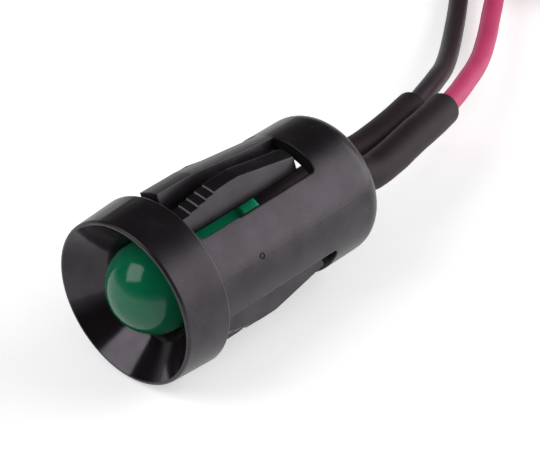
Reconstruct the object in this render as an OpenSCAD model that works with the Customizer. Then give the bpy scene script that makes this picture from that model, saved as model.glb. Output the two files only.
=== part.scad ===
// Snap-in panel indicator lamp: a 5 mm lamp in a moulded holder, with two wire leads.
// The origin is the middle of the bezel's back face, where the panel seats. The front
// faces -Y, the leads leave towards +Y, and the lamp lies on its bezel edge, +Z up.

/* [Bezel] */
// Diameter of the front rim
rim_d = 9.1; // [8.6:0.1:11]
// Diameter of the bezel at its back face
bezel_back_d = 9.4; // [9.2:0.1:12]
// Length of the bezel, from its rim to the panel
bezel_l = 2.8; // [2:0.1:4]
// Width of the flat land round the cone
rim_land = 0.2; // [0.1:0.05:0.4]
// Depth of the cone behind the rim
cone_depth = 2; // [1.2:0.1:2.4]

/* [Barrel] */
// Outer diameter of the barrel, which passes through the panel
barrel_d = 7.9; // [7.7:0.1:8.4]
// Wall of the barrel
barrel_wall = 0.75; // [0.5:0.05:0.9]
// Length of the barrel behind the panel face
barrel_l = 12.5; // [11:0.5:15]
// Rounding of the barrel's rear edge
rear_round = 1.2; // [0.6:0.1:1.3]
// Turn of the windows from straight up, about the lamp's axis
window_turn = -21; // [-45:1:45]
// Distance of the windows' front edge from the panel face
window_front = 0.4; // [0.3:0.1:0.8]
// Distance of the windows' rear edge from the panel face
window_rear = 9.05; // [8:0.05:9.5]
// Width of each window, both legs and the tongue included
window_w = 6.5; // [5.8:0.1:6.6]
// Rounding of the windows' corners
window_round = 0.4; // [0.2:0.05:0.6]
// Half height of the window walls that are left standing inside the side straps
strap_half_h = 0.9; // [0.6:0.1:1.5]
// Draft of the side straps: how much slimmer they are at the panel face than at their rear
strap_draft = 0.02; // [0.01:0.01:0.05]

/* [Latch tongues] */
// Width of the tongue along the middle of each window
tongue_w = 1.25; // [1:0.05:1.6]
// Distance of the tongue's free front end from the panel face
tongue_front = 0.7; // [0.6:0.05:1.2]
// Radius of the tongue's outer face at that end
tongue_front_r = 4.5; // [4.2:0.05:4.6]
// How far behind the front end the tongue starts to taper
tongue_level_l = 2.5; // [1:0.1:4]

/* [Latch legs] */
// Thickness of a latch leg
leg_t = 0.75; // [0.5:0.05:0.9]
// Distance between the two legs of a window
leg_gap = 3; // [2.4:0.1:3.4]
// Gap between a leg's free end and the window's rear edge
leg_end_gap = 0.45; // [0.3:0.05:1]
// Radius of the legs' outer faces at their highest place
leg_crest_r = 4.34; // [4.1:0.02:4.5]
// Drop of the legs' outer faces from there to their free ends
leg_end_drop = 0.54; // [0.3:0.02:0.6]
// Distance of that highest place from the panel face
leg_crest_y = 4.4; // [3.8:0.1:5]
// Number of catch teeth on each leg
teeth = 4; // [3:1:5]
// Distance between teeth
tooth_pitch = 0.6; // [0.4:0.02:0.6]
// Height of the step at each tooth
tooth_step = 0.07; // [0.04:0.01:0.12]
// Lean of that step's face from square, which wedges the panel's edge
tooth_lean = 45; // [0:5:60]

/* [Lamp] */
// Diameter of the lamp's body
lamp_d = 5; // [4.8:0.05:5.1]
// Overall length of the lamp's body
lamp_l = 8.6; // [8:0.1:9]
// Diameter of the flange at the lamp's base
flange_d = 5.8; // [5.5:0.1:6]
// Thickness of that flange
flange_t = 1.05; // [0.8:0.05:1.3]
// Height of the dome's tip in front of the rim
tip_out = 0.3; // [0:0.1:0.8]
// Turn of the lamp's two pins from level, about the lamp's axis
lamp_turn = -13; // [-30:1:30]
// Distance between the lamp's pins
pin_pitch = 2.54; // [2.4:0.02:2.6]
// Side of the square pins
pin_w = 0.5; // [0.4:0.05:0.6]
// Gap all round the lamp in its holder
lamp_gap = 0.03; // [0.02:0.01:0.08]

/* [Leads] */
// Diameter of the leads over their insulation
lead_d = 1.2; // [1:0.1:1.2]
// Diameter of the stranded conductor
core_d = 0.7; // [0.5:0.05:0.8]
// Outer diameter of the sleeves over the joints
sleeve_d = 1.95; // [1.8:0.05:2.2]
// Bore of those sleeves
sleeve_bore_d = 1.4; // [1.3:0.05:1.5]
// Outer diameter of the sleeves inside the holder, where they are shrunk on the joints
sleeve_neck_d = 1.24; // [1.2:0.02:1.4]
// Bore of the sleeves there
sleeve_neck_bore_d = 1; // [0.96:0.02:1.04]
// Length of the solder joints
joint_l = 1.6; // [1.2:0.1:2]
// Length of the tinned ends
tinned_l = 2.5; // [1.5:0.5:3]

/* [Hidden] */

$fn = 96;
cut_over = 1; // how far cuts run past what they cut
join_in = 0.1; // how far pieces of one moulding run into each other

// Holder, about its own axis
rim_r = rim_d / 2;
bezel_r = bezel_back_d / 2;
barrel_r = barrel_d / 2;
bore_r = barrel_r - barrel_wall;
edge_r = 0.15; // small rounding of the bezel's edges
rear_land = 0.1; // flat left between the rear rounding and the bore
lamp_bore_r = lamp_d / 2 + lamp_gap;
rear_round_y = barrel_l - sqrt(pow(rear_round, 2)
    - pow(bore_r + rear_land - barrel_r + rear_round, 2));
rear_a = acos((bore_r + rear_land - barrel_r + rear_round) / rear_round);
guide_step = 0.1; // how much lower the guide ribs are than the walls they stand on
guide_half_h = strap_half_h - guide_step;
strap_r = barrel_r - strap_draft;
flange_y = bezel_gap_y(flange_t); // front face of the lamp's flange
lamp_base_y = bezel_gap_y(0);

// Latch legs
leg_in = leg_gap / 2;
leg_end_y = window_rear - leg_end_gap;
leg_end_r = leg_crest_r - leg_end_drop;
tooth_lead = 0.1; // plain length before the first tooth
tooth_start = window_front + tooth_lead;
tooth_share = 0.9; // how much of the legs' rise the teeth take
crest_before = 0.5; // level stretch of the crest, either side of its highest place
crest_after = 0.3;
leg_over = leg_crest_r + cut_over;

// Latch tongues
tongue_thin = 0.1; // how much thinner the tongue's root is than the barrel's wall
tongue_in = bore_r + tongue_thin;
tongue_taper_y = tongue_front + tongue_level_l;
tongue_end_y = window_rear + join_in;

// Lamp
dome_y = -bezel_l - tip_out + lamp_d / 2;
pin_y = pin_pitch / 2;
anvil_y = 0.3; // front face of the pins' heads inside the body
anvil_l = 0.9;
chip_w = 0.26;
chip_top = 0.06; // how far the chip and the wire's foot stand in front of the heads
wire_d = 0.06;
wire_span = 0.9;
pin_end_y = 9.6;
joint_round = 0.1;

// Sleeves and leads. Distances run along the lamp's axis as far as the first bends.
sleeve_start_y = 6.2;
red_neck_end_y = 12.1; // the sleeves widen from here
black_neck_end_y = 12.5;
neck_l = 0.45;
neck_gap = 0.05; // from the end of a neck to the lead behind it
straight_l = 0.3; // how far a lead runs straight before its first bend
red_lead_y = red_neck_end_y + neck_l + neck_gap;
black_lead_y = black_neck_end_y + neck_l + neck_gap;
ground_z = -bezel_r;
pin_turn_x = pin_y * cos(lamp_turn);
pin_turn_z = -pin_y * sin(lamp_turn);

// Routes of the leads from inside their sleeves to the coils: x, y, z.
red_sleeve_run = [[pin_turn_x, red_lead_y + straight_l, pin_turn_z], [1.2, 14.6, -0.15],
    [0.8, 16.8, -0.38], [0.3, 19, -0.5], [-0.2, 21.1, -0.72]];
red_sleeve_end = [-0.85, 23.2, -1.05];
red_free_run = [[-1.6, 25.3, -1.4], [-2.4, 27.2, -1.7], [-3.2, 29, -2],
    [-4.2, 30.9, -2.3], [-5.6, 33.2, -2.5], [-7, 35.3, -2.7], [-8.1, 37, -2.7],
    [-9.3, 38.5, -2.7], [-10.7, 39.9, -2.7], [-12.2, 41.1, -2.7]];
black_sleeve_run = [[-pin_turn_x, black_lead_y + straight_l, -pin_turn_z], [-1.4, 14.6, -0.72],
    [-1.6, 16.8, -1.12], [-2, 19, -1.4], [-2.45, 21, -1.62]];
black_sleeve_end = [-3, 23.1, -1.82];
black_free_run = [[-3.7, 25.1, -2.05], [-4.5, 27, -2.4], [-5.5, 29, -2.9],
    [-7, 31.4, -3.4], [-9.1, 34.5, -3.8], [-11, 37.2, -4], [-12.7, 39.4, -3.9],
    [-14.4, 41.6, -3.9]];

// Coils, one on the other, each with its lead laid in flat turns
coil_centre = [-10.5, 49];
tie_t = 0.2;
coil_join_r = 7.7; // the outermost turn, along its middle
coil_out_r = coil_join_r + lead_d / 2;
coil_in_r = 4;
black_coil_z = ground_z + tie_t;
red_coil_z = black_coil_z + lead_d;
black_join_a = 222; // directions of the joins and of the tie, from the coils' middle
red_join_a = 243;
tie_a = 60;
red_tail_a = 293; // where each lead leaves the inside of its coil
black_tail_a = 200;
tail_gap = 0.05; // the tails start just inside the coils
tail_r = coil_in_r - lead_d / 2 - tail_gap;
tail_curl = [[0, 0], [0.3, 25], [0.85, 52]]; // distance inwards and angle round
tie_w = 1.6;
tie_clear = 0.1; // gap between the tie and the coils' sides
tie_room = coil_out_r - coil_in_r + 2 * tie_clear;

function bezel_gap_y(from_base) = lamp_l - bezel_l - tip_out - from_base;

// Swept tube: rings about the points of a route, square to its run
function unit(v) = v / norm(v);
function run_at(p, i) = unit(p[min(i + 1, len(p) - 1)] - p[max(i - 1, 0)]);
function side_at(p, i) = unit(cross(run_at(p, i), [0, 0, 1]));
function ring_at(p, i, r, sides) = let (s = side_at(p, i), t = cross(s, run_at(p, i)))
    [for (k = [0 : sides - 1]) p[i] + r * (cos(360 * k / sides) * s
        + sin(360 * k / sides) * t)];
function band(a, b, sides) = [for (k = [0 : sides - 1])
    [a + k, b + k, b + (k + 1) % sides, a + (k + 1) % sides]];

module tube(route, r, sides = 8) {
    n = len(route);
    polyhedron(
        points = [for (i = [0 : n - 1]) each ring_at(route, i, r, sides)],
        faces = concat(
            [[for (k = [0 : sides - 1]) k]],
            [for (i = [0 : n - 2]) each band(i * sides, (i + 1) * sides, sides)],
            [[for (k = [sides - 1 : -1 : 0]) (n - 1) * sides + k]]));
}

// A tube with a bore. Its first two rings are its neck.
module sleeve_tube(route, sides = 12) {
    n = len(route);
    inner = n * sides;
    polyhedron(
        points = concat(
            [for (i = [0 : n - 1])
                each ring_at(route, i, (i < 2 ? sleeve_neck_d : sleeve_d) / 2, sides)],
            [for (i = [0 : n - 1])
                each ring_at(route, i, (i < 2 ? sleeve_neck_bore_d : sleeve_bore_d) / 2,
                    sides)]),
        faces = concat(
            [for (i = [0 : n - 2]) each band(i * sides, (i + 1) * sides, sides)],
            [for (i = [0 : n - 2])
                each band(inner + (i + 1) * sides, inner + i * sides, sides)],
            band(inner, 0, sides),
            band((n - 1) * sides, inner + (n - 1) * sides, sides)));
}

// Turns the lamp's own axis, z, to lie along Y, with x up
module along_axis(turn = 0) {
    rotate([-90, 0, 0]) rotate([0, 0, turn - 90]) children();
}

module both_ways() {
    children();
    mirror([0, 1, 0]) children();
}

module top_and_bottom() {
    children();
    mirror([1, 0, 0]) children();
}

// Holder
function arc_points(cx, cz, r, a0, a1, steps) =
    [for (i = [0 : steps]) [cx + r * cos(a0 + (a1 - a0) * i / steps),
        cz + r * sin(a0 + (a1 - a0) * i / steps)]];

module holder_shell() {
    cone_in_r = rim_r - rim_land;
    rotate_extrude() polygon(concat(
        [[lamp_bore_r, window_front], [lamp_bore_r, cone_depth - bezel_l]],
        [[cone_in_r, -bezel_l]],
        arc_points(rim_r - edge_r, -bezel_l + edge_r, edge_r, 270, 360, 4),
        arc_points(bezel_r - edge_r, -edge_r, edge_r, 0, 90, 4),
        [[strap_r, 0], [barrel_r, window_rear]],
        arc_points(barrel_r - rear_round, rear_round_y, rear_round, 0, rear_a, 8),
        [[bore_r, barrel_l], [bore_r, window_front]]));
}

// Outer face of the legs: a step up at each tooth, then a smooth hump to the free end
function tooth_r(i) = strap_r + (leg_crest_r - strap_r) * tooth_share * i / teeth;

module leg_envelope() {
    rise = [for (i = [1 : teeth]) each [
        [tooth_r(i) - tooth_step, tooth_start + i * tooth_pitch],
        [tooth_r(i), tooth_start + i * tooth_pitch + tooth_step * tan(tooth_lean)]]];
    rotate_extrude() polygon(concat(
        [[0, 0], [strap_r, 0], [strap_r, tooth_start]],
        rise,
        [[leg_crest_r, leg_crest_y - crest_before],
            [leg_crest_r, leg_crest_y + crest_after],
            [leg_end_r, leg_end_y], [0, leg_end_y]]));
}

module leg() {
    intersection() {
        leg_envelope();
        translate([0, leg_in, window_front - join_in])
            cube([leg_over, leg_t, leg_end_y]);
        difference() {
            cylinder(r = leg_over, h = window_rear);
            translate([0, 0, -cut_over])
                cylinder(r = bore_r, h = window_rear + 2 * cut_over);
        }
    }
}

// Springs from the rear ring, and stands out beyond the barrel at its free front end
module tongue() {
    intersection() {
        translate([0, -tongue_w / 2, 0]) cube([tongue_front_r, tongue_w, tongue_end_y]);
        rotate_extrude() polygon([[tongue_in, tongue_front], [tongue_front_r, tongue_front],
            [tongue_front_r, tongue_taper_y], [barrel_r, window_rear],
            [barrel_r - join_in, tongue_end_y], [tongue_in, tongue_end_y]]);
    }
}

module rounded_square(size, r) {
    translate([r, 0]) square([size.x - 2 * r, size.y]);
    translate([0, r]) square([size.x, size.y - 2 * r]);
    for (x = [r, size.x - r], y = [r, size.y - r]) translate([x, y]) circle(r);
}

module window_cut() {
    translate([strap_half_h, -window_w / 2, window_rear]) rotate([0, 90, 0])
        linear_extrude(bezel_r)
            rounded_square([window_rear - window_front, window_w], window_round);
}

module lamp_guide() {
    difference() {
        translate([-guide_half_h, 0, window_front - join_in])
            cube([2 * guide_half_h, bore_r + join_in, flange_y - window_front]);
        cylinder(r = lamp_bore_r, h = window_rear);
    }
}

module housing() color([0.09, 0.08, 0.09]) along_axis(window_turn) {
    difference() {
        holder_shell();
        top_and_bottom() window_cut();
    }
    both_ways() lamp_guide();
    top_and_bottom() {
        tongue();
        both_ways() leg();
    }
}

// Lamp, about its own axis, with its pins along y
module chip_shape() {
    translate([-chip_w / 2, -chip_w / 2, anvil_y - chip_top])
        cube([chip_w, chip_w, chip_top]);
}

module wire_shape() {
    translate([0, wire_span / 2, anvil_y - chip_top]) rotate([0, -90, 0])
        rotate_extrude(angle = 180, start = 90)
            translate([wire_span / 2, 0]) circle(d = wire_d, $fn = 16);
}

module pin_shape() {
    translate([-pin_w / 2, pin_y - pin_w / 2, anvil_y])
        cube([pin_w, pin_w, pin_end_y - anvil_y]);
}

module cathode_shape() {
    mirror([0, 1, 0]) {
        pin_shape();
        translate([-pin_w / 2, -pin_w / 2, anvil_y]) cube([pin_w, pin_y, anvil_l]);
    }
}

module anode_shape() {
    pin_shape();
    translate([-pin_w / 2, wire_span - pin_w / 4, anvil_y])
        cube([pin_w, pin_y - wire_span, anvil_l]);
    translate([-chip_w / 2, wire_span - chip_w / 2, anvil_y - chip_top])
        cube([chip_w, chip_w, chip_top]);
}

module lamp_body() color([0.02, 0.28, 0.17]) along_axis(lamp_turn) {
    difference() {
        union() {
            translate([0, 0, dome_y]) sphere(d = lamp_d);
            translate([0, 0, dome_y]) cylinder(d = lamp_d, h = lamp_base_y - dome_y);
            difference() {
                translate([0, 0, flange_y]) cylinder(d = flange_d, h = flange_t);
                translate([-flange_d, -flange_d - lamp_d / 2, flange_y - cut_over])
                    cube([2 * flange_d, flange_d, flange_t + 2 * cut_over]);
            }
        }
        cathode_shape();
        anode_shape();
        chip_shape();
        wire_shape();
    }
}

module cathode_pin() color([0.8, 0.8, 0.8]) along_axis(lamp_turn) cathode_shape();
module anode_pin() color([0.8, 0.8, 0.8]) along_axis(lamp_turn) anode_shape();
module light_chip() color([0.6, 0.8, 0.3]) along_axis(lamp_turn) chip_shape();
module bond_wire() color([0.9, 0.7, 0.3]) along_axis(lamp_turn) wire_shape();

// Joint: solder round the end of a pin and the start of a conductor
module core_shape(lead_y) {
    translate([0, pin_y, pin_end_y]) cylinder(d = core_d, h = lead_y - pin_end_y);
}

module joint_shape() {
    difference() {
        translate([0, pin_y, pin_end_y]) rotate_extrude() polygon(concat(
            [[0, -joint_l / 2]],
            arc_points(core_d / 2, joint_round - joint_l / 2, joint_round, 270, 360, 3),
            arc_points(core_d / 2, joint_l / 2 - joint_round, joint_round, 0, 90, 3),
            [[0, joint_l / 2]]));
        pin_shape();
        core_shape();
    }
}

module red_joint() color([0.7, 0.7, 0.72]) along_axis(lamp_turn) joint_shape();
module black_joint() color([0.7, 0.7, 0.72]) along_axis(lamp_turn)
    mirror([0, 1, 0]) joint_shape();
module red_core() color([0.8, 0.5, 0.3]) along_axis(lamp_turn) core_shape(red_lead_y);
module black_core() color([0.8, 0.5, 0.3]) along_axis(lamp_turn)
    mirror([0, 1, 0]) core_shape(black_lead_y);

// Sleeves and leads
function sleeve_front(x, z, neck_end_y) =
    [for (y = [sleeve_start_y, neck_end_y, neck_end_y + neck_l]) [x, y, z]];

module red_sleeve() color([0.25, 0.2, 0.23])
    sleeve_tube(concat(sleeve_front(pin_turn_x, pin_turn_z, red_neck_end_y),
        red_sleeve_run, [red_sleeve_end]));
module black_sleeve() color([0.25, 0.2, 0.23])
    sleeve_tube(concat(sleeve_front(-pin_turn_x, -pin_turn_z, black_neck_end_y),
        black_sleeve_run, [black_sleeve_end]));

// A point beside the coils' middle, level with the middle of a coil
function coil_at(r, a, coil_z) = [coil_centre.x + r * cos(a), coil_centre.y + r * sin(a),
    coil_z + lead_d / 2];

// Each lead's end leaves the inside of its coil in a short curl
function tail_run(a, coil_z) = [for (bend = tail_curl)
    coil_at(tail_r - bend[0], a - bend[1], coil_z)];

// A lead ends square on the outside of its coil
module lead(inside, sleeve_run, sleeve_end, free_run, coil_z, join_a, tail_a) {
    difference() {
        tube(concat([inside], sleeve_run, [sleeve_end], free_run,
            [coil_at(coil_join_r, join_a, coil_z)]), lead_d / 2);
        translate([coil_centre.x, coil_centre.y, coil_z - cut_over])
            cylinder(r = coil_out_r, h = lead_d + 2 * cut_over);
    }
    tube(tail_run(tail_a, coil_z), lead_d / 2);
}

module red_lead() color([0.75, 0.2, 0.4])
    lead([pin_turn_x, red_lead_y, pin_turn_z], red_sleeve_run, red_sleeve_end, red_free_run,
        red_coil_z, red_join_a, red_tail_a);
module black_lead() color([0.12, 0.11, 0.12])
    lead([-pin_turn_x, black_lead_y, -pin_turn_z], black_sleeve_run, black_sleeve_end,
        black_free_run, black_coil_z, black_join_a, black_tail_a);

module coil(z) {
    translate([coil_centre.x, coil_centre.y, z]) difference() {
        cylinder(r = coil_out_r, h = lead_d);
        translate([0, 0, -cut_over])
            cylinder(r = coil_in_r, h = lead_d + 2 * cut_over);
    }
}

module black_coil() color([0.12, 0.11, 0.12]) coil(black_coil_z);
module red_coil() color([0.75, 0.2, 0.4]) coil(red_coil_z);

module tinned_end(tail_a, coil_z) {
    tail = tail_run(tail_a, coil_z);
    way = unit(tail[2] - tail[1]);
    translate(tail[2]) rotate([0, 0, atan2(way.y, way.x)]) rotate([0, 90, 0])
        cylinder(d = core_d, h = tinned_l, $fn = 32);
}

module red_tinned_end() color([0.75, 0.75, 0.77]) tinned_end(red_tail_a, red_coil_z);
module black_tinned_end() color([0.75, 0.75, 0.77])
    tinned_end(black_tail_a, black_coil_z);

module coil_tie() color([0.9, 0.9, 0.88])
    translate([coil_centre.x, coil_centre.y, ground_z]) rotate([0, 0, tie_a])
        rotate([90, 0, 0]) linear_extrude(tie_w, center = true) difference() {
            translate([coil_in_r - tie_clear - tie_t, 0])
                square([tie_room + 2 * tie_t, 2 * (lead_d + tie_t)]);
            translate([coil_in_r - tie_clear, tie_t]) square([tie_room, 2 * lead_d]);
        }

housing();
lamp_body();
cathode_pin();
anode_pin();
light_chip();
bond_wire();
black_joint();
red_joint();
black_core();
red_core();
black_sleeve();
red_sleeve();
black_lead();
red_lead();
black_coil();
red_coil();
black_tinned_end();
red_tinned_end();
coil_tie();
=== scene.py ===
import bisect
import math

import bmesh
import bpy
from mathutils import Matrix, Quaternion, Vector, noise


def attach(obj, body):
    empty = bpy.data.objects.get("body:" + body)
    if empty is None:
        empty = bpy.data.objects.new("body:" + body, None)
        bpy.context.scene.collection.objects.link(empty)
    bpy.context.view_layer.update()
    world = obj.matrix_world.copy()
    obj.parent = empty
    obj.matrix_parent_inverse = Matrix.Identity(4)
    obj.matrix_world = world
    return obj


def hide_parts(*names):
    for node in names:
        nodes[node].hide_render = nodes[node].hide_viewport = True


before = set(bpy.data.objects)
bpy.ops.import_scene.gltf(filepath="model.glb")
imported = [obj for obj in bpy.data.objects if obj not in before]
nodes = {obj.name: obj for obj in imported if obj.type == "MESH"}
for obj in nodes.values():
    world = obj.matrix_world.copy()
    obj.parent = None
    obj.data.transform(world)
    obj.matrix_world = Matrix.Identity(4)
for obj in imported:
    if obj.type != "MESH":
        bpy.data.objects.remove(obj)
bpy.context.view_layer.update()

mm = 0.001
groundLevel = -4.7
print("stage: frame loaded")


# Camera

cameraSettings = {
    "place": (75.2, -73.9, 77.1),
    "turn": 42.58,
    "dip": 35.0,
    "lens": 173.3,
    "sensor": 36,
    "nearest": 10,
    "farthest": 5000,
}


def makeCamera(settings):
    camera = bpy.data.objects.new("camera", bpy.data.cameras.new("camera"))
    bpy.context.scene.collection.objects.link(camera)
    camera.location = Vector(settings["place"]) * mm
    camera.rotation_euler = (math.radians(90 - settings["dip"]), 0, math.radians(settings["turn"]))
    camera.data.lens = settings["lens"]
    camera.data.sensor_width = settings["sensor"]
    camera.data.clip_start = settings["nearest"] * mm
    camera.data.clip_end = settings["farthest"] * mm
    bpy.context.scene.camera = camera


# Routes, in millimetres, as in the part's source

def smoothRoute(points, steps):
    """Points on one smooth curve through the given ones."""
    ends = [points[0] * 2 - points[1]] + points + [points[-1] * 2 - points[-2]]
    route = []
    for a, b, c, d in zip(ends, ends[1:], ends[2:], ends[3:]):
        for step in range(steps):
            t = step / steps
            route.append(0.5 * (2 * b + (c - a) * t + (2 * a - 5 * b + 4 * c - d) * t**2
                                + (3 * b - a - 3 * c + d) * t**3))
    return route + [points[-1]]


def squareTo(run):
    """Two directions square to a run and to each other."""
    side = run.cross(Vector((0, 0, 1))).normalized()
    return side, side.cross(run).normalized()


def newPiece(name, points, faces, smooth=True):
    mesh = bpy.data.meshes.new(name)
    mesh.from_pydata([tuple(p * mm) for p in points], [], faces)
    shape = bmesh.new()
    shape.from_mesh(mesh)
    bmesh.ops.recalc_face_normals(shape, faces=shape.faces)
    shape.to_mesh(mesh)
    shape.free()
    mesh.polygons.foreach_set("use_smooth", [smooth] * len(mesh.polygons))
    piece = bpy.data.objects.new(name, mesh)
    bpy.context.scene.collection.objects.link(piece)
    return piece


# The curl is in steps inwards and round, from the end of the innermost turn.
coilSettings = {
    "middle": Vector((-10.5, 49, 0)),
    "outerTurn": 7.7,
    "innerTurn": 3.35,
    "pitch": 1.2,
    "fullTurns": 3,
    "easeIn": 0.45,
    "curl": ((0.3, 25), (0.85, 52)),
    "pointsPerTurn": 36,
}

leadSettings = {
    "black": {
        "long": 150,
        "neckEnd": 12.5,
        "start": (-1.2375, 13, -0.2857),
        "sleeveRun": [(-1.2375, 13.3, -0.2857), (-1.4, 14.6, -0.72), (-1.6, 16.8, -1.12),
                      (-2, 19, -1.4), (-2.45, 21, -1.62)],
        "sleeveEnd": (-3, 23.1, -1.82),
        "freeRun": [(-3.7, 25.1, -2.05), (-4.5, 27, -2.4), (-5.5, 29, -2.9), (-7, 31.4, -3.4),
                    (-9.1, 34.5, -3.8), (-11, 37.2, -4), (-12.7, 39.4, -3.9), (-14.4, 41.6, -3.9)],
        "coilLevel": -3.9,
        "joinAngle": 222,
        "tailAngle": 200,
    },
    "red": {
        "long": 144,
        "neckEnd": 12.1,
        "start": (1.2375, 12.6, 0.2857),
        "sleeveRun": [(1.2375, 12.9, 0.2857), (1.2, 14.6, -0.15), (0.8, 16.8, -0.38),
                      (0.3, 19, -0.5), (-0.2, 21.1, -0.72)],
        "sleeveEnd": (-0.85, 23.2, -1.05),
        "freeRun": [(-1.6, 25.3, -1.4), (-2.4, 27.2, -1.7), (-3.2, 29, -2), (-4.2, 30.9, -2.3),
                    (-5.6, 33.2, -2.5), (-7, 35.3, -2.7), (-8.1, 37, -2.7), (-9.3, 38.5, -2.7),
                    (-10.7, 39.9, -2.7), (-12.2, 41.1, -2.7)],
        "coilLevel": -2.7,
        "joinAngle": 243,
        "tailAngle": 293,
    },
}

leadWide = 1.2
leadRouteSteps = 4


def coilPoint(radius, angle, level):
    a = math.radians(angle)
    return coilSettings["middle"] + Vector((radius * math.cos(a), radius * math.sin(a), level))


def coilRoute(settings):
    """Flat turns from the join inwards, a diameter apart, then the short curl inside them."""
    c = coilSettings
    turns = c["fullTurns"] + (settings["joinAngle"] - settings["tailAngle"]) / 360
    count = round(turns * c["pointsPerTurn"])
    points = []
    for i in range(count + 1):
        done = turns * i / count
        radius = c["outerTurn"] - c["pitch"] * done
        ease = max(0, (done - turns + c["easeIn"]) / c["easeIn"])
        ease = ease * ease * (3 - 2 * ease)
        radius += (c["innerTurn"] - radius) * ease
        points.append(coilPoint(radius, settings["joinAngle"] - 360 * done, settings["coilLevel"]))
    for inwards, angle in c["curl"]:
        points.append(coilPoint(c["innerTurn"] - inwards, settings["tailAngle"] - angle,
                                settings["coilLevel"]))
    return points


def leadRoute(settings):
    laid = [Vector(p) for p in [settings["start"], *settings["sleeveRun"], settings["sleeveEnd"],
                                *settings["freeRun"]]]
    return smoothRoute(laid + coilRoute(settings), leadRouteSteps)


ripplesPerMm = 0.9


def sweep(route, profile, sides, ripple=0, capped=False):
    """Points and faces of (distance, radius) pairs carried round a route, which run on from the
    last pair to the first, or end in two caps."""
    far = [0]
    for a, b in zip(route, route[1:]):
        far.append(far[-1] + (b - a).length)
    points, faces = [], []
    for distance, radius in profile:
        i = min(max(bisect.bisect_right(far, distance) - 1, 0), len(route) - 2)
        share = (distance - far[i]) / (far[i + 1] - far[i])
        place = route[i].lerp(route[i + 1], share)
        before = (route[i + 1] - route[max(i - 1, 0)]).normalized()
        after = (route[min(i + 2, len(route) - 1)] - route[i]).normalized()
        side, up = squareTo(before.lerp(after, min(max(share, 0), 1)))
        for k in range(sides):
            a = 2 * math.pi * k / sides
            out = side * math.cos(a) + up * math.sin(a)
            swell = ripple * noise.noise((place + out) * ripplesPerMm)
            points.append(place + out * (radius + swell))
    rings = len(profile)
    for i in range(rings - 1 if capped else rings):
        for k in range(sides):
            j, m = (i + 1) % rings, (k + 1) % sides
            faces.append((i * sides + k, i * sides + m, j * sides + m, j * sides + k))
    if capped:
        faces += [tuple(range(sides)), tuple(range((rings - 1) * sides, rings * sides))]
    return points, faces


def lengthOf(route):
    return sum((b - a).length for a, b in zip(route, route[1:]))


insulationSettings = {"bore": 0.35, "bevel": 0.08, "step": 0.3, "ripple": 0.008, "sides": 32}


def makeLead(colour):
    """The insulation of a lead, cut square and open round the conductor at both ends."""
    s = insulationSettings
    route = leadRoute(leadSettings[colour])
    long, half, bevel, deep = lengthOf(route), leadWide / 2, s["bevel"], 2 * s["bore"]
    count = round((long - 2 * bevel) / s["step"])
    profile = [(deep, s["bore"]), (0, s["bore"]), (0, half - bevel)]
    profile += [(bevel + (long - 2 * bevel) * k / count, half) for k in range(count + 1)]
    profile += [(long, half - bevel), (long, s["bore"]), (long - deep, s["bore"])]
    wire = newPiece(colour + "_wire", *sweep(route, profile, s["sides"], s["ripple"], capped=True))
    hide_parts(colour + "_lead", colour + "_coil")
    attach(wire, "root")
    return wire


sleeveSettings = {
    "front": 6.2,
    "neckLong": 0.45,
    "outer": (0.62, 0.975),
    "bore": (0.5, 0.7),
    "edge": 0.12,
    "edgeSteps": 6,
    "ripple": 0.012,
    "sides": 40,
    "steps": 160,
    "straightSteps": 3,
    "routeSteps": 8,
}


def makeSleeve(colour):
    """A shrink sleeve, tight on the joint inside the holder and wider over the lead behind it."""
    s, lead = sleeveSettings, leadSettings[colour]
    x, y, z = lead["sleeveRun"][0]
    laid = [Vector((x, s["front"] + (y - s["front"]) * k / s["straightSteps"], z))
            for k in range(s["straightSteps"])]
    laid += [Vector(p) for p in [*lead["sleeveRun"], lead["sleeveEnd"]]]
    route = smoothRoute(laid, s["routeSteps"])
    long, edge = lengthOf(route), s["edge"]

    def widthAt(distance, widths):
        t = min(max((distance + s["front"] - lead["neckEnd"]) / s["neckLong"], 0), 1)
        return widths[0] + (widths[1] - widths[0]) * t * t * (3 - 2 * t)

    corner = [(edge * (1 - math.cos(a)), edge * (1 - math.sin(a)))
              for a in (math.radians(90 * k / s["edgeSteps"]) for k in range(s["edgeSteps"] + 1))]
    outer = [(d, s["outer"][0] - r) for d, r in corner]
    for k in range(1, s["steps"]):
        d = edge + (long - 2 * edge) * k / s["steps"]
        outer.append((d, widthAt(d, s["outer"])))
    outer += [(long - d, s["outer"][1] - r) for d, r in reversed(corner)]
    inner = [(d, widthAt(d, s["bore"])) for d in
             (long * (1 - k / s["steps"]) for k in range(s["steps"] + 1))]
    sleeve = newPiece(colour + "_shrink_sleeve", *sweep(route, outer + inner, s["sides"], s["ripple"]))
    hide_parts(colour + "_sleeve")
    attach(sleeve, "root")
    return sleeve


strandSettings = {
    "outerStrands": 6,
    "long": 2.5,
    "startInside": 0.1,
    "strand": 0.12,
    "tipShare": 0.6,
    "lay": 0.225,
    "twist": 400,
    "sides": 10,
    "steps": 36,
}


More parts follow.
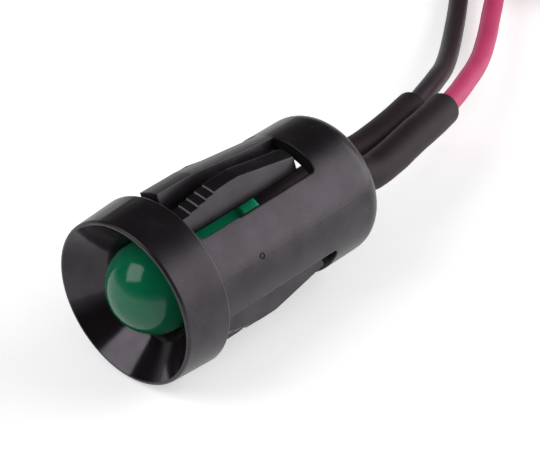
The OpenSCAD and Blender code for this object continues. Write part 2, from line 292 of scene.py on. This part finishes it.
def makeTinnedEnd(colour):
    """A strand with others twisted round it, where the insulation is stripped back."""
    s, lead = strandSettings, leadSettings[colour]
    tail = coilRoute(lead)
    run = (tail[-1] - tail[-2]).normalized()
    side, up = squareTo(run)
    points, faces = [], []
    for strand in range(s["outerStrands"] + 1):
        lay = s["lay"] if strand else 0
        centre = []
        for k in range(s["steps"] + 1):
            a = math.radians(360 / s["outerStrands"] * strand + s["twist"] * k / s["steps"])
            centre.append(tail[-1] + run * (s["long"] * k / s["steps"] - s["startInside"])
                          + (side * math.cos(a) + up * math.sin(a)) * lay)
        first = len(points)
        for k, place in enumerate(centre):
            thick = s["strand"] * (s["tipShare"] if k in (0, s["steps"]) else 1)
            ahead = centre[min(k + 1, s["steps"])] - centre[max(k - 1, 0)]
            across, over = squareTo(ahead.normalized())
            for n in range(s["sides"]):
                a = 2 * math.pi * n / s["sides"]
                points.append(place + (across * math.cos(a) + over * math.sin(a)) * thick)
        for k in range(s["steps"]):
            for n in range(s["sides"]):
                m = (n + 1) % s["sides"]
                a, b = first + k * s["sides"], first + (k + 1) * s["sides"]
                faces.append((a + n, a + m, b + m, b + n))
        faces.append(tuple(first + n for n in reversed(range(s["sides"]))))
        faces.append(tuple(first + s["steps"] * s["sides"] + n for n in range(s["sides"])))
    end = newPiece(colour + "_strands", points, faces)
    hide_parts(colour + "_tinned_end")
    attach(end, "root")
    return end


# The section's points are in shares of the width and of the thickness.
tieSettings = {
    "angle": 60,
    "wide": 1.6,
    "thick": 0.14,
    "corner": 0.75,
    "cornerSteps": 8,
    "inner": 3.95,
    "outer": 8.35,
    "low": groundLevel + 0.03,
    "high": -1.97,
    "section": ((-0.5, 0.25), (-0.47, 0), (-0.25, -0.03), (0, 0), (0.25, -0.03), (0.47, 0), (0.5, 0.25),
                (0.47, 1), (0, 1), (-0.47, 1)),
}


def makeTie():
    """A flat band that hugs the coils."""
    s, corner, steps = tieSettings, tieSettings["corner"], tieSettings["cornerSteps"]
    inner, outer, low, high = (s["inner"] + corner, s["outer"] - corner, s["low"] + corner,
                               s["high"] - corner)
    path = []
    for u, w, start in ((outer, low, 270), (outer, high, 0), (inner, high, 90), (inner, low, 180)):
        for k in range(steps + 1):
            a = math.radians(start + 90 * k / steps)
            path.append((u + corner * math.cos(a), w + corner * math.sin(a), math.cos(a), math.sin(a)))
    turn = Matrix.Rotation(math.radians(s["angle"]), 4, "Z")
    points, faces = [], []
    for u, w, nu, nw in path:
        for v, depth in s["section"]:
            inset = depth * s["thick"]
            points.append(coilSettings["middle"]
                          + turn @ Vector((u - nu * inset, v * s["wide"], w - nw * inset)))
    sides, rings = len(s["section"]), len(path)
    for i in range(rings):
        for k in range(sides):
            j, m = (i + 1) % rings, (k + 1) % sides
            faces.append((i * sides + k, j * sides + k, j * sides + m, i * sides + m))
    tie = newPiece("tie_band", points, faces)
    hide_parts("coil_tie")
    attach(tie, "root")
    return tie


makeCamera(cameraSettings)
wires = {colour: makeLead(colour) for colour in leadSettings}
sleeves = {colour: makeSleeve(colour) for colour in leadSettings}
tinnedEnds = {colour: makeTinnedEnd(colour) for colour in leadSettings}
tie = makeTie()
for colour, wire in wires.items():
    [tuple(place * mm) for place in leadRoute(leadSettings[colour])]
print("stage: camera and leads made")


# Shared shader effects

def addNode(tree, kind, inputs=None, **settings):
    node = tree.nodes.new(kind)
    for key, value in settings.items():
        setattr(node, key, value)
    for key, value in (inputs or {}).items():
        if isinstance(value, bpy.types.NodeSocket):
            tree.links.new(value, node.inputs[key])
        else:
            node.inputs[key].default_value = value
    return node


def newGroup(name, inputs, outputs):
    tree = bpy.data.node_groups.new(name, "ShaderNodeTree")
    for key in inputs:
        tree.interface.new_socket(key, in_out="INPUT", socket_type="NodeSocketFloat")
    for key, kind in outputs.items():
        tree.interface.new_socket(key, in_out="OUTPUT", socket_type=kind)
    return tree, tree.nodes.new("NodeGroupInput"), tree.nodes.new("NodeGroupOutput")


def calc(tree, operation, a, b=0.0, clamp=False):
    node = tree.nodes.new("ShaderNodeMath")
    node.operation = operation
    node.use_clamp = clamp
    for socket, value in zip(node.inputs, (a, b)):
        if isinstance(value, bpy.types.NodeSocket):
            tree.links.new(value, socket)
        else:
            socket.default_value = value
    return node.outputs[0]


def ramp(tree, value, low, high):
    """From 0 at low to 1 at high, smoothly."""
    node = addNode(tree, "ShaderNodeMapRange", {"Value": value, "From Min": low, "From Max": high},
                   interpolation_type="SMOOTHSTEP")
    return node.outputs["Result"]


def placeInMm(tree):
    place = addNode(tree, "ShaderNodeTexCoord").outputs["Object"]
    return addNode(tree, "ShaderNodeVectorMath", {0: place, 3: 1 / mm}, operation="SCALE").outputs[0]


surfaceSettings = {
    "grain": {"Detail": 3, "Roughness": 0.6},
    "cloud": {"Detail": 4},
    "scratch": {"Detail": 2, "Distortion": 0.4},
    "scratchStretch": {"Rotation": (0.3, 0.5, 0.9), "Scale": (6, 0.5, 4)},
    "scratchLine": (0.012, 0.002),
    "scratchPatches": (0.52, 0.62),
}


def makeSurfaceGroup(s):
    """Grain, cloudy variation and fine scratches. Scales are in features per millimetre."""
    tree, given, result = newGroup(
        "mouldedSurface", ("Grain Scale", "Cloud Scale", "Scratch Scale"),
        {"Grain": "NodeSocketFloat", "Cloud": "NodeSocketFloat", "Scratch": "NodeSocketFloat"})
    inMm = placeInMm(tree)
    grain = addNode(tree, "ShaderNodeTexNoise",
                    {"Vector": inMm, "Scale": given.outputs["Grain Scale"], **s["grain"]})
    cloud = addNode(tree, "ShaderNodeTexNoise",
                    {"Vector": inMm, "Scale": given.outputs["Cloud Scale"], **s["cloud"]})
    stretched = addNode(tree, "ShaderNodeMapping", {"Vector": inMm, **s["scratchStretch"]})
    lines = addNode(tree, "ShaderNodeTexNoise",
                    {"Vector": stretched.outputs[0], "Scale": given.outputs["Scratch Scale"], **s["scratch"]})
    offMiddle = calc(tree, "ABSOLUTE", calc(tree, "SUBTRACT", lines.outputs[0], 0.5))
    thin = ramp(tree, offMiddle, *s["scratchLine"])
    patches = ramp(tree, cloud.outputs[0], *s["scratchPatches"])
    tree.links.new(grain.outputs[0], result.inputs["Grain"])
    tree.links.new(cloud.outputs[0], result.inputs["Cloud"])
    tree.links.new(calc(tree, "MULTIPLY", thin, patches), result.inputs["Scratch"])
    return tree


edgeSettings = {"samples": 6, "flatToSharp": (0.98, 0.8)}


def makeEdgeGroup(s):
    """Softened edges, and a mask of them for wear. The radius is in millimetres."""
    tree, given, result = newGroup("softEdge", ("Radius",),
                                   {"Normal": "NodeSocketVector", "Edge": "NodeSocketFloat"})
    bevel = addNode(tree, "ShaderNodeBevel", {"Radius": calc(tree, "MULTIPLY", given.outputs["Radius"], mm)},
                    samples=s["samples"])
    flat = addNode(tree, "ShaderNodeNewGeometry").outputs["Normal"]
    same = addNode(tree, "ShaderNodeVectorMath", {0: bevel.outputs[0], 1: flat}, operation="DOT_PRODUCT")
    tree.links.new(bevel.outputs[0], result.inputs["Normal"])
    tree.links.new(ramp(tree, same.outputs["Value"], *s["flatToSharp"]), result.inputs["Edge"])
    return tree


surfaceGroup = makeSurfaceGroup(surfaceSettings)
edgeGroup = makeEdgeGroup(edgeSettings)


def newMaterial(name, constants):
    material = bpy.data.materials.new(name)
    material.use_nodes = True
    shader = material.node_tree.nodes["Principled BSDF"]
    for key, value in constants.items():
        shader.inputs[key].default_value = value
    return material, material.node_tree, shader


def addSurface(tree, scales):
    node = addNode(tree, "ShaderNodeGroup", node_tree=surfaceGroup)
    for key, value in scales.items():
        node.inputs[key].default_value = value
    return node.outputs


def addEdge(tree, radius):
    return addNode(tree, "ShaderNodeGroup", {"Radius": radius}, node_tree=edgeGroup).outputs


def blendColours(tree, share, first, second):
    node = addNode(tree, "ShaderNodeMix", data_type="RGBA")
    for socket, value in ((node.inputs[0], share), (node.inputs[6], first), (node.inputs[7], second)):
        if isinstance(value, bpy.types.NodeSocket):
            tree.links.new(value, socket)
        else:
            socket.default_value = value if isinstance(value, float) else (*value[:3], 1)
    return node.outputs[2]


def addBump(tree, height, depth, normal=None):
    """A bump of that many millimetres."""
    inputs = {"Height": height, "Distance": depth * mm, "Strength": 1.0}
    if normal is not None:
        inputs["Normal"] = normal
    return addNode(tree, "ShaderNodeBump", inputs).outputs[0]


def between(tree, low, high, value):
    """low to high as value goes from 0 to 1."""
    return calc(tree, "ADD", calc(tree, "MULTIPLY", value, high - low), low)


def giveMaterial(piece, material):
    piece.data.materials.clear()
    piece.data.materials.append(material)


# Black moulding of the housing: fine satin, with a polished cone

# Pairs named as places are in millimetres: where a mask is 0, and where it is 1.
mouldingSettings = {
    "base": (0.007, 0.0055, 0.0067),
    "pale": (0.012, 0.0097, 0.0116),
    "worn": (0.03, 0.026, 0.029),
    "tint": (0.99, 0.885, 1, 1),
    "surface": {"Grain Scale": 11, "Cloud Scale": 0.7, "Scratch Scale": 1.1},
    "rough": (0.28, 0.38),
    "sheen": (0.44, 0.58),
    "sheenFrom": (0.36, 0.64),
    "cloudShare": 0.7,
    "grain": 0.0035,
    "edgeWear": 0.35,
    "scratchWear": 0.5,
    "scratchDepth": 0.6,
    "softEdge": 0.11,
    "toothEdge": 0.025,
    "teethAcross": (1.3, 1.4),
    "teethEnd": (3.3, 3.2),
    "teethTop": (3.86, 3.9),
    "coneMouth": (4.4, 4.37),
    "coneBack": (-0.2, -0.3),
    "coneRough": 0.13,
    "coneGrain": 0.05,
    "bore": (3.3, 3.2),
    "boreFront": (0.1, 0.4),
    "boreRough": 0.2,
    # Inside the bore the reflection is cut to this share: painted shade in the recess, together with a
    # rougher surface there.
    "boreSheenPaintedShade": 0.3,
    "outside": (3.9, 3.94),
    "partingTurn": -21,
    "partingLine": (0.035, 0.0),
    "partingHeight": 1.5,
    "gate": (3.73, 3.38, 1.49),
    "gateRing": 0.16,
    "gateLine": (0.07, 0.02),
    "gateColour": (0.006, 0.005, 0.006),
    "gateSheen": 0.35,
    "gateDepth": 8.0,
}


def makeMoulding(s):
    material, tree, shader = newMaterial("blackMoulding", {"IOR": 1.5, "Specular Tint": s["tint"]})
    surface = addSurface(tree, s["surface"])
    inMm = placeInMm(tree)
    alongAxis = addNode(tree, "ShaderNodeSeparateXYZ", {0: inMm}).outputs["Y"]
    flat = addNode(tree, "ShaderNodeVectorMath", {0: inMm, 1: (1, 0, 1)}, operation="MULTIPLY").outputs[0]
    radius = addNode(tree, "ShaderNodeVectorMath", {0: flat}, operation="LENGTH").outputs["Value"]

    cone = calc(tree, "MULTIPLY", ramp(tree, radius, *s["coneMouth"]), ramp(tree, alongAxis, *s["coneBack"]))
    satin = calc(tree, "SUBTRACT", 1.0, cone)
    inside = calc(tree, "MULTIPLY", ramp(tree, radius, *s["bore"]), ramp(tree, alongAxis, *s["boreFront"]))
    toGate = addNode(tree, "ShaderNodeVectorMath", {0: inMm, 1: s["gate"]}, operation="DISTANCE")
    offRing = calc(tree, "ABSOLUTE", calc(tree, "SUBTRACT", toGate.outputs["Value"], s["gateRing"]))
    ring = ramp(tree, offRing, *s["gateLine"])
    turn = math.radians(s["partingTurn"])
    pull = addNode(tree, "ShaderNodeVectorMath", {0: inMm, 1: (math.sin(turn), 0, math.cos(turn))},
                   operation="DOT_PRODUCT").outputs["Value"]
    across = addNode(tree, "ShaderNodeVectorMath", {0: inMm, 1: (math.cos(turn), 0, -math.sin(turn))},
                     operation="DOT_PRODUCT").outputs["Value"]
    parting = calc(tree, "MULTIPLY", ramp(tree, calc(tree, "ABSOLUTE", pull), *s["partingLine"]),
                   calc(tree, "MULTIPLY", ramp(tree, radius, *s["outside"]), satin))
    teeth = calc(tree, "MULTIPLY", ramp(tree, calc(tree, "ABSOLUTE", across), *s["teethAcross"]),
                 calc(tree, "MULTIPLY", ramp(tree, alongAxis, *s["teethEnd"]),
                      ramp(tree, radius, *s["teethTop"])))
    edge = addEdge(tree, between(tree, s["softEdge"], s["toothEdge"], teeth))

    mottle = blendColours(tree, calc(tree, "MULTIPLY", surface["Cloud"], surface["Grain"]),
                          s["base"], s["pale"])
    wear = calc(tree, "ADD", calc(tree, "MULTIPLY", edge["Edge"], s["edgeWear"]),
                calc(tree, "MULTIPLY", surface["Scratch"], s["scratchWear"]), clamp=True)
    colour = blendColours(tree, calc(tree, "MULTIPLY", wear, satin), mottle, s["worn"])
    colour = blendColours(tree, ring, colour, s["gateColour"])
    tree.links.new(colour, shader.inputs["Base Color"])

    rough = calc(tree, "MULTIPLY", between(tree, *s["rough"], surface["Cloud"]), satin)
    rough = calc(tree, "ADD", rough, calc(tree, "MULTIPLY", cone, s["coneRough"]))
    rough = calc(tree, "ADD", rough, calc(tree, "MULTIPLY", inside, s["boreRough"]))
    tree.links.new(rough, shader.inputs["Roughness"])

    blotches = calc(tree, "ADD", calc(tree, "MULTIPLY", surface["Cloud"], s["cloudShare"]),
                    calc(tree, "MULTIPLY", surface["Grain"], 1 - s["cloudShare"]))
    sheen = between(tree, *s["sheen"], ramp(tree, blotches, *s["sheenFrom"]))
    # Weaker reflection inside the bore: painted shade in the recess.
    sheen = calc(tree, "MULTIPLY", sheen, between(tree, 1.0, s["boreSheenPaintedShade"], inside))
    sheen = calc(tree, "MULTIPLY", sheen, between(tree, 1.0, s["gateSheen"], ring))
    tree.links.new(sheen, shader.inputs["Specular IOR Level"])

    height = calc(tree, "MULTIPLY", surface["Grain"], between(tree, 1.0, s["coneGrain"], cone))
    height = calc(tree, "SUBTRACT", height, calc(tree, "MULTIPLY", ring, s["gateDepth"]))
    height = calc(tree, "ADD", height, calc(tree, "MULTIPLY", parting, s["partingHeight"]))
    scratch = calc(tree, "MULTIPLY", surface["Scratch"], satin)
    height = calc(tree, "SUBTRACT", height, calc(tree, "MULTIPLY", scratch, s["scratchDepth"]))
    tree.links.new(addBump(tree, height, s["grain"], edge["Normal"]), shader.inputs["Normal"])
    return material


# Green lamp resin, with the haze of a diffused lamp, and painted light: the body behind the dome is coloured
# brighter than the dome

resinSettings = {
    "dome": (0.003, 0.18, 0.083),
    "domeDeep": (0.0015, 0.12, 0.056),
    # The body colours are painted light: about twice the dome's brightness, standing in for light that the
    # shaded body does not get.
    "body": (0.012, 0.35, 0.175),
    "paintedLitBodyDeep": (0.006, 0.25, 0.125),
    "paintedLitBodyFrom": (0.1, 0.7),
    "surface": {"Grain Scale": 4, "Cloud Scale": 0.8, "Scratch Scale": 0.9},
    "shader": {"IOR": 1.5, "Specular IOR Level": 0.36, "Subsurface Weight": 0.7,
               "Subsurface Scale": 0.0022, "Subsurface Radius": (0.1, 1.0, 0.6)},
    "rough": (0.1, 0.17),
    "grain": 0.0006,
    "softEdge": 0.08,
}


def makeResin(s):
    material, tree, shader = newMaterial("greenResin", s["shader"])
    surface = addSurface(tree, s["surface"])
    alongAxis = addNode(tree, "ShaderNodeSeparateXYZ", {0: placeInMm(tree)}).outputs["Y"]
    dome = blendColours(tree, surface["Cloud"], s["domeDeep"], s["dome"])
    body = blendColours(tree, surface["Cloud"], s["paintedLitBodyDeep"], s["body"])
    # Along the axis the colour turns from the dome's to the brighter body colour, a painted light on the body
    # in the holder's shade.
    tree.links.new(blendColours(tree, ramp(tree, alongAxis, *s["paintedLitBodyFrom"]), dome, body),
                   shader.inputs["Base Color"])
    tree.links.new(between(tree, *s["rough"], surface["Cloud"]), shader.inputs["Roughness"])
    edge = addEdge(tree, s["softEdge"])
    tree.links.new(addBump(tree, surface["Grain"], s["grain"], edge["Normal"]), shader.inputs["Normal"])
    return material


# Soft plastics of the sleeves and leads

softSettings = {
    "shrinkSleeve": {
        "base": (0.012, 0.0065, 0.0085), "pale": (0.028, 0.018, 0.022), "tint": (1, 0.84, 0.93, 1),
        "rough": (0.5, 0.65), "specular": 0.25, "grain": 0.006, "grainScale": 6},
    "blackInsulation": {
        "base": (0.019, 0.012, 0.016), "pale": (0.036, 0.026, 0.033), "tint": (1, 0.84, 0.95, 1),
        "rough": (0.42, 0.55), "specular": 0.48, "grain": 0.002, "grainScale": 8},
    "redInsulation": {
        "base": (0.5, 0.022, 0.11), "pale": (0.64, 0.055, 0.18), "tint": (1, 0.9, 0.95, 1),
        "rough": (0.42, 0.55), "specular": 0.5, "grain": 0.002, "grainScale": 8},
    "tieBand": {
        "base": (0.72, 0.72, 0.7), "pale": (0.85, 0.85, 0.83), "tint": (1, 1, 1, 1),
        "rough": (0.35, 0.5), "specular": 0.5, "grain": 0.004, "grainScale": 5},
}
softScratchDepth = 0.5


def makeSoft(name, s):
    material, tree, shader = newMaterial(name, {"IOR": 1.5, "Specular IOR Level": s["specular"],
                                                "Specular Tint": s["tint"]})
    surface = addSurface(tree, {"Grain Scale": s["grainScale"], "Cloud Scale": 0.6, "Scratch Scale": 0.8})
    colour = blendColours(tree, surface["Cloud"], s["base"], s["pale"])
    tree.links.new(colour, shader.inputs["Base Color"])
    tree.links.new(between(tree, *s["rough"], surface["Cloud"]), shader.inputs["Roughness"])
    height = calc(tree, "SUBTRACT", surface["Grain"],
                  calc(tree, "MULTIPLY", surface["Scratch"], softScratchDepth))
    tree.links.new(addBump(tree, height, s["grain"]), shader.inputs["Normal"])
    return material


# Metals of the pins, joints, wire and tinned ends

metalSettings = {
    "tinnedPin": {"base": (0.62, 0.61, 0.58), "dull": (0.4, 0.39, 0.37), "rough": (0.22, 0.4)},
    "solder": {"base": (0.6, 0.6, 0.6), "dull": (0.4, 0.4, 0.41), "rough": (0.2, 0.42)},
    "goldWire": {"base": (0.83, 0.6, 0.25), "dull": (0.6, 0.42, 0.18), "rough": (0.15, 0.3)},
}
metalSurface = {"Grain Scale": 7, "Cloud Scale": 1.5, "Scratch Scale": 2.5}
metalSoftEdge = 0.03
metalGrain = 0.003


def makeMetal(name, s):
    material, tree, shader = newMaterial(name, {"Metallic": 1.0})
    surface = addSurface(tree, metalSurface)
    edge = addEdge(tree, metalSoftEdge)
    tree.links.new(blendColours(tree, surface["Cloud"], s["base"], s["dull"]), shader.inputs["Base Color"])
    tree.links.new(between(tree, *s["rough"], surface["Cloud"]), shader.inputs["Roughness"])
    tree.links.new(addBump(tree, surface["Grain"], metalGrain, edge["Normal"]), shader.inputs["Normal"])
    return material


chipSettings = {
    "dark": (0.25, 0.3, 0.12),
    "light": (0.5, 0.55, 0.3),
    "surface": {"Grain Scale": 20, "Cloud Scale": 6, "Scratch Scale": 3},
    "rough": (0.15, 0.3),
    "grain": 0.001,
}


def makeChip(s):
    material, tree, shader = newMaterial("lightChip", {"IOR": 1.7})
    surface = addSurface(tree, s["surface"])
    tree.links.new(blendColours(tree, surface["Cloud"], s["dark"], s["light"]), shader.inputs["Base Color"])
    tree.links.new(between(tree, *s["rough"], surface["Grain"]), shader.inputs["Roughness"])
    tree.links.new(addBump(tree, surface["Grain"], s["grain"]), shader.inputs["Normal"])
    return material


giveMaterial(nodes["housing"], makeMoulding(mouldingSettings))
giveMaterial(nodes["lamp_body"], makeResin(resinSettings))
soft = {name: makeSoft(name, settings) for name, settings in softSettings.items()}
metal = {name: makeMetal(name, settings) for name, settings in metalSettings.items()}
for colour in leadSettings:
    giveMaterial(wires[colour], soft[colour + "Insulation"])
    giveMaterial(sleeves[colour], soft["shrinkSleeve"])
    giveMaterial(tinnedEnds[colour], metal["solder"])
    giveMaterial(nodes[colour + "_joint"], metal["solder"])
    giveMaterial(nodes[colour + "_core"], metal["solder"])
giveMaterial(tie, soft["tieBand"])
for name in ("cathode_pin", "anode_pin"):
    giveMaterial(nodes[name], metal["tinnedPin"])
giveMaterial(nodes["bond_wire"], metal["goldWire"])
giveMaterial(nodes["light_chip"], makeChip(chipSettings))
print("stage: materials made")


# Floor, lamps and background

stageSettings = {
    "floorColour": (0.86, 0.86, 0.86, 1),
    "floorRough": 0.7,
    "floorLift": 0.46,
    "floorHalf": 1500,
    "worldLevel": 0.3,
    "worldInGloss": (0.025, 0.45),
    "hazeHeight": 0.4,
    "hazePower": 2.0,
}


def seesBackground(tree, glossyShare):
    """1 for what looks at the background, by itself or through glass, and a share for gloss."""
    path = addNode(tree, "ShaderNodeLightPath")
    direct = calc(tree, "MAXIMUM", path.outputs["Is Camera Ray"], path.outputs["Is Transmission Ray"])
    return calc(tree, "MAXIMUM", direct, calc(tree, "MULTIPLY", path.outputs["Is Glossy Ray"], glossyShare))


def makeFloor(s):
    half = s["floorHalf"]
    corners = [Vector((x, y, groundLevel))
               for x, y in ((-half, -half), (half, -half), (half, half), (-half, half))]
    floor = newPiece("floor", corners, [(0, 1, 2, 3)])
    material, tree, shader = newMaterial("floor", {
        "Base Color": s["floorColour"], "Roughness": s["floorRough"], "Emission Color": (1, 1, 1, 1)})
    lift = calc(tree, "MULTIPLY", seesBackground(tree, 1.0), s["floorLift"])
    tree.links.new(lift, shader.inputs["Emission Strength"])
    giveMaterial(floor, material)


def makeWorld(s):
    world = bpy.data.worlds.new("studio")
    bpy.context.scene.world = world
    world.use_nodes = True
    tree = world.node_tree
    towards = addNode(tree, "ShaderNodeTexCoord").outputs["Generated"]
    height = addNode(tree, "ShaderNodeSeparateXYZ", {0: towards}).outputs["Z"]
    haze = calc(tree, "POWER", ramp(tree, height, s["hazeHeight"], 0.0), s["hazePower"])
    gloss = between(tree, *s["worldInGloss"], haze)
    inGloss = addNode(tree, "ShaderNodeLightPath").outputs["Is Glossy Ray"]
    strength = calc(tree, "MULTIPLY", gloss, inGloss)
    notGloss = calc(tree, "SUBTRACT", 1.0, inGloss)
    strength = calc(tree, "ADD", strength, calc(tree, "MULTIPLY", notGloss, s["worldLevel"]))
    strength = calc(tree, "MAXIMUM", strength, seesBackground(tree, 0.0))
    background = tree.nodes["Background"]
    background.inputs["Color"].default_value = (1, 1, 1, 1)
    tree.links.new(strength, background.inputs["Strength"])


lampAim = Vector((0, 5, 0))
lampSettings = {
    "key": {"towards": (0.56, 0.745, 0.358), "away": 420, "size": 428, "roll": 0, "level": 2.9},
    "front": {"towards": (-0.35, -0.62, 0.7), "away": 400, "size": 265, "roll": 40, "level": 3.0},
}


def makeLamp(name, s):
    """A square soft lamp. Its level is its brightness, where 1 is white."""
    lamp = bpy.data.objects.new(name, bpy.data.lights.new(name, "AREA"))
    bpy.context.scene.collection.objects.link(lamp)
    towards = Vector(s["towards"]).normalized()
    lamp.location = (lampAim + towards * s["away"]) * mm
    roll = Quaternion((0, 0, 1), math.radians(s["roll"]))
    lamp.rotation_euler = (towards.to_track_quat("Z", "Y") @ roll).to_euler()
    lamp.data.size = s["size"] * mm
    lamp.data.energy = s["level"] * math.pi * lamp.data.size**2
    lamp.visible_camera = False


makeFloor(stageSettings)
makeWorld(stageSettings)
for name, settings in lampSettings.items():
    makeLamp(name, settings)
bpy.context.scene.view_settings.view_transform = "Standard"
print("stage: floor, lamps and background made")
